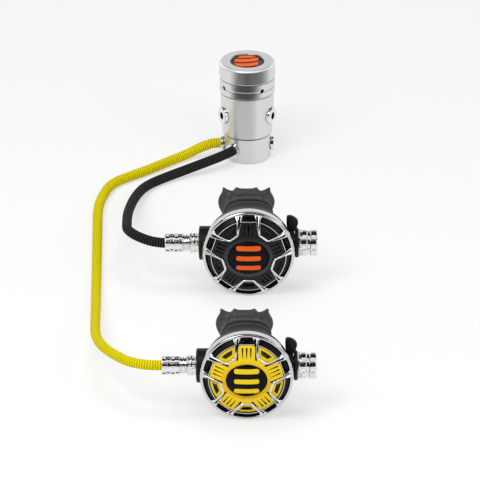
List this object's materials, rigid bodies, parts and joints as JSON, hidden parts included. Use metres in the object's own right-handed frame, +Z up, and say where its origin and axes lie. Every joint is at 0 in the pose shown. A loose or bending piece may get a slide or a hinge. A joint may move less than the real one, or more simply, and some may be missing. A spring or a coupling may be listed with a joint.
{
  "type": "scuba regulator set",
  "caption": "Cylindrical chromed diaphragm first stage with DIN inlet and swivel turret, feeding a black and a yellow second stage through braided hoses",
  "frame": {"origin": "centre of the turret's bottom face, where the first stage stands on the table", "axes": "+Z is up along the first stage's axis; +Y points back along the DIN inlet, and the second stages face -Y; +X is to the right seen from the front"},
  "size_m": [0.192, 0.6142, 0.0895],
  "materials": {
    "satin_steel": "satin plated brass, turned",
    "bright_steel": "bright chrome plate",
    "black_braid": "braided hose cover, black",
    "yellow_braid": "braided hose cover, yellow",
    "black_nylon": "moulded, fine grain",
    "yellow_nylon": "moulded, semi-gloss",
    "orange_plastic": "moulded inlay, semi-gloss",
    "white_nylon": "turned, natural",
    "soft_rubber": "soft moulded elastomer, matte",
    "black_seal": "smooth seal rubber",
    "clear_silicone": "translucent silicone",
    "plated_brass": "machined",
    "sintered_bronze": "sintered, porous",
    "spring_steel": "drawn wire and pressed strip"
  },
  "bodies": {
    "manifold": {"turret": "satin_steel", "lp_port_plugs": "bright_steel", "hose_fittings": "bright_steel", "hose_ferrules": "bright_steel", "primary_hose": "black_braid", "octopus_hose": "yellow_braid"},
    "regulator": {"first_stage_body": "satin_steel", "high_pressure_plugs": "bright_steel", "turret_bolt": "plated_brass", "o_rings": "black_seal", "spring_carrier": "satin_steel", "spring_adjuster": "plated_brass", "main_spring": "spring_steel", "main_diaphragm": "black_seal", "end_cap": "satin_steel", "pressure_boot": "soft_rubber", "boot_inlays": "orange_plastic", "inlet_spring": "spring_steel", "din_connector": "bright_steel", "inlet_filter": "sintered_bronze"},
    "inlet_valve": {"inlet_poppet": "white_nylon", "valve_lifter": "plated_brass"},
    "din_coupler": {"din_wheel": "soft_rubber"},
    "primary_stage": {"primary_case": "black_nylon", "primary_cover_ring": "bright_steel", "primary_cover_plate": "black_nylon", "primary_diaphragm": "clear_silicone", "primary_valve_barrel": "plated_brass", "primary_poppet_spring": "spring_steel", "primary_swivel_nut": "bright_steel", "primary_mouthpiece": "soft_rubber", "primary_mouthpiece_tie": "black_nylon", "primary_exhaust_valve": "clear_silicone", "primary_exhaust_tee": "soft_rubber"},
    "primary_purge": {"primary_purge_button": "black_nylon", "primary_purge_bars": "orange_plastic"},
    "primary_diaphragm_centre": {"primary_diaphragm_plate": "white_nylon"},
    "primary_lever": {"primary_demand_lever": "spring_steel"},
    "primary_valve": {"primary_poppet": "white_nylon"},
    "primary_knob": {"primary_adjusting_knob": "bright_steel"},
    "primary_venturi": {"primary_venturi_lever": "black_nylon"},
    "octopus_stage": {"octopus_case": "black_nylon", "octopus_cover_ring": "bright_steel", "octopus_cover_plate": "yellow_nylon", "octopus_diaphragm": "clear_silicone", "octopus_valve_barrel": "plated_brass", "octopus_poppet_spring": "spring_steel", "octopus_swivel_nut": "bright_steel", "octopus_mouthpiece": "soft_rubber", "octopus_mouthpiece_tie": "black_nylon", "octopus_exhaust_valve": "clear_silicone", "octopus_exhaust_tee": "soft_rubber"},
    "octopus_purge": {"octopus_purge_button": "black_nylon", "octopus_purge_bars": "yellow_nylon"},
    "octopus_diaphragm_centre": {"octopus_diaphragm_plate": "white_nylon"},
    "octopus_lever": {"octopus_demand_lever": "spring_steel"},
    "octopus_valve": {"octopus_poppet": "white_nylon"},
    "octopus_knob": {"octopus_adjusting_knob": "bright_steel"},
    "octopus_venturi": {"octopus_venturi_lever": "black_nylon"}
  },
  "joints": [
    {"name": "turret_swivel", "type": "hinge", "parent": "manifold", "child": "regulator", "pos_m": [0, 0, 0.02], "axis": [0, 0, 1], "continuous": true},
    {"name": "inlet_valve_lift", "type": "slide", "parent": "regulator", "child": "inlet_valve", "axis": [0, 0, -1], "range_m": [0, 0.0008], "stiffness_N_per_m": 500, "springref_m": -0.001, "deforming": ["inlet_spring"]},
    {"name": "din_wheel_spin", "type": "hinge", "parent": "regulator", "child": "din_coupler", "pos_m": [0, 0.04, 0.042], "axis": [0, 1, 0], "continuous": true},
    {"name": "primary_swivel", "type": "hinge", "parent": "manifold", "child": "primary_stage", "pos_m": [-0.044, -0.27, 0.039], "axis": [1, 0, 0], "continuous": true},
    {"name": "primary_purge_press", "type": "slide", "parent": "primary_stage", "child": "primary_purge", "axis": [0, 1, 0], "range_m": [0, 0.0035], "stiffness_N_per_m": 300, "springref_m": -0.002},
    {"name": "primary_diaphragm_travel", "type": "slide", "parent": "primary_stage", "child": "primary_diaphragm_centre", "axis": [0, 1, 0], "range_m": [0, 0.0036]},
    {"name": "primary_lever_tilt", "type": "hinge", "parent": "primary_stage", "child": "primary_lever", "pos_m": [0.019, -0.2788, 0.039], "axis": [0, 0, 1], "range_deg": [-10.2, 0]},
    {"name": "primary_valve_lift", "type": "slide", "parent": "primary_stage", "child": "primary_valve", "axis": [1, 0, 0], "range_m": [0, 0.0011]},
    {"name": "primary_knob_turn", "type": "hinge", "parent": "primary_stage", "child": "primary_knob", "pos_m": [0.051, -0.27, 0.039], "axis": [1, 0, 0], "range_deg": [-270, 270]},
    {"name": "primary_venturi_turn", "type": "hinge", "parent": "primary_stage", "child": "primary_venturi", "pos_m": [0.042, -0.27, 0.039], "axis": [1, 0, 0], "range_deg": [-70, 0]},
    {"name": "octopus_swivel", "type": "hinge", "parent": "manifold", "child": "octopus_stage", "pos_m": [-0.0457, -0.5185, 0.039], "axis": [1, 0, 0], "continuous": true},
    {"name": "octopus_purge_press", "type": "slide", "parent": "octopus_stage", "child": "octopus_purge", "axis": [0, 1, 0], "range_m": [0, 0.0035], "stiffness_N_per_m": 300, "springref_m": -0.002},
    {"name": "octopus_diaphragm_travel", "type": "slide", "parent": "octopus_stage", "child": "octopus_diaphragm_centre", "axis": [0, 1, 0], "range_m": [0, 0.0036]},
    {"name": "octopus_lever_tilt", "type": "hinge", "parent": "octopus_stage", "child": "octopus_lever", "pos_m": [0.0173, -0.5273, 0.039], "axis": [0, 0, 1], "range_deg": [-10.2, 0]},
    {"name": "octopus_valve_lift", "type": "slide", "parent": "octopus_stage", "child": "octopus_valve", "axis": [1, 0, 0], "range_m": [0, 0.0011]},
    {"name": "octopus_knob_turn", "type": "hinge", "parent": "octopus_stage", "child": "octopus_knob", "pos_m": [0.0493, -0.5185, 0.039], "axis": [1, 0, 0], "range_deg": [-270, 270]},
    {"name": "octopus_venturi_turn", "type": "hinge", "parent": "octopus_stage", "child": "octopus_venturi", "pos_m": [0.0403, -0.5185, 0.039], "axis": [1, 0, 0], "range_deg": [-70, 0]}
  ],
  "couplings": [
    {"joint": "primary_diaphragm_travel", "follows": "primary_purge_press", "ratio": 1},
    {"joint": "primary_lever_tilt", "follows": "primary_purge_press", "rad_per_m": -50},
    {"joint": "primary_valve_lift", "follows": "primary_purge_press", "ratio": 0.3},
    {"joint": "octopus_diaphragm_travel", "follows": "octopus_purge_press", "ratio": 1},
    {"joint": "octopus_lever_tilt", "follows": "octopus_purge_press", "rad_per_m": -50},
    {"joint": "octopus_valve_lift", "follows": "octopus_purge_press", "ratio": 0.3}
  ]
}
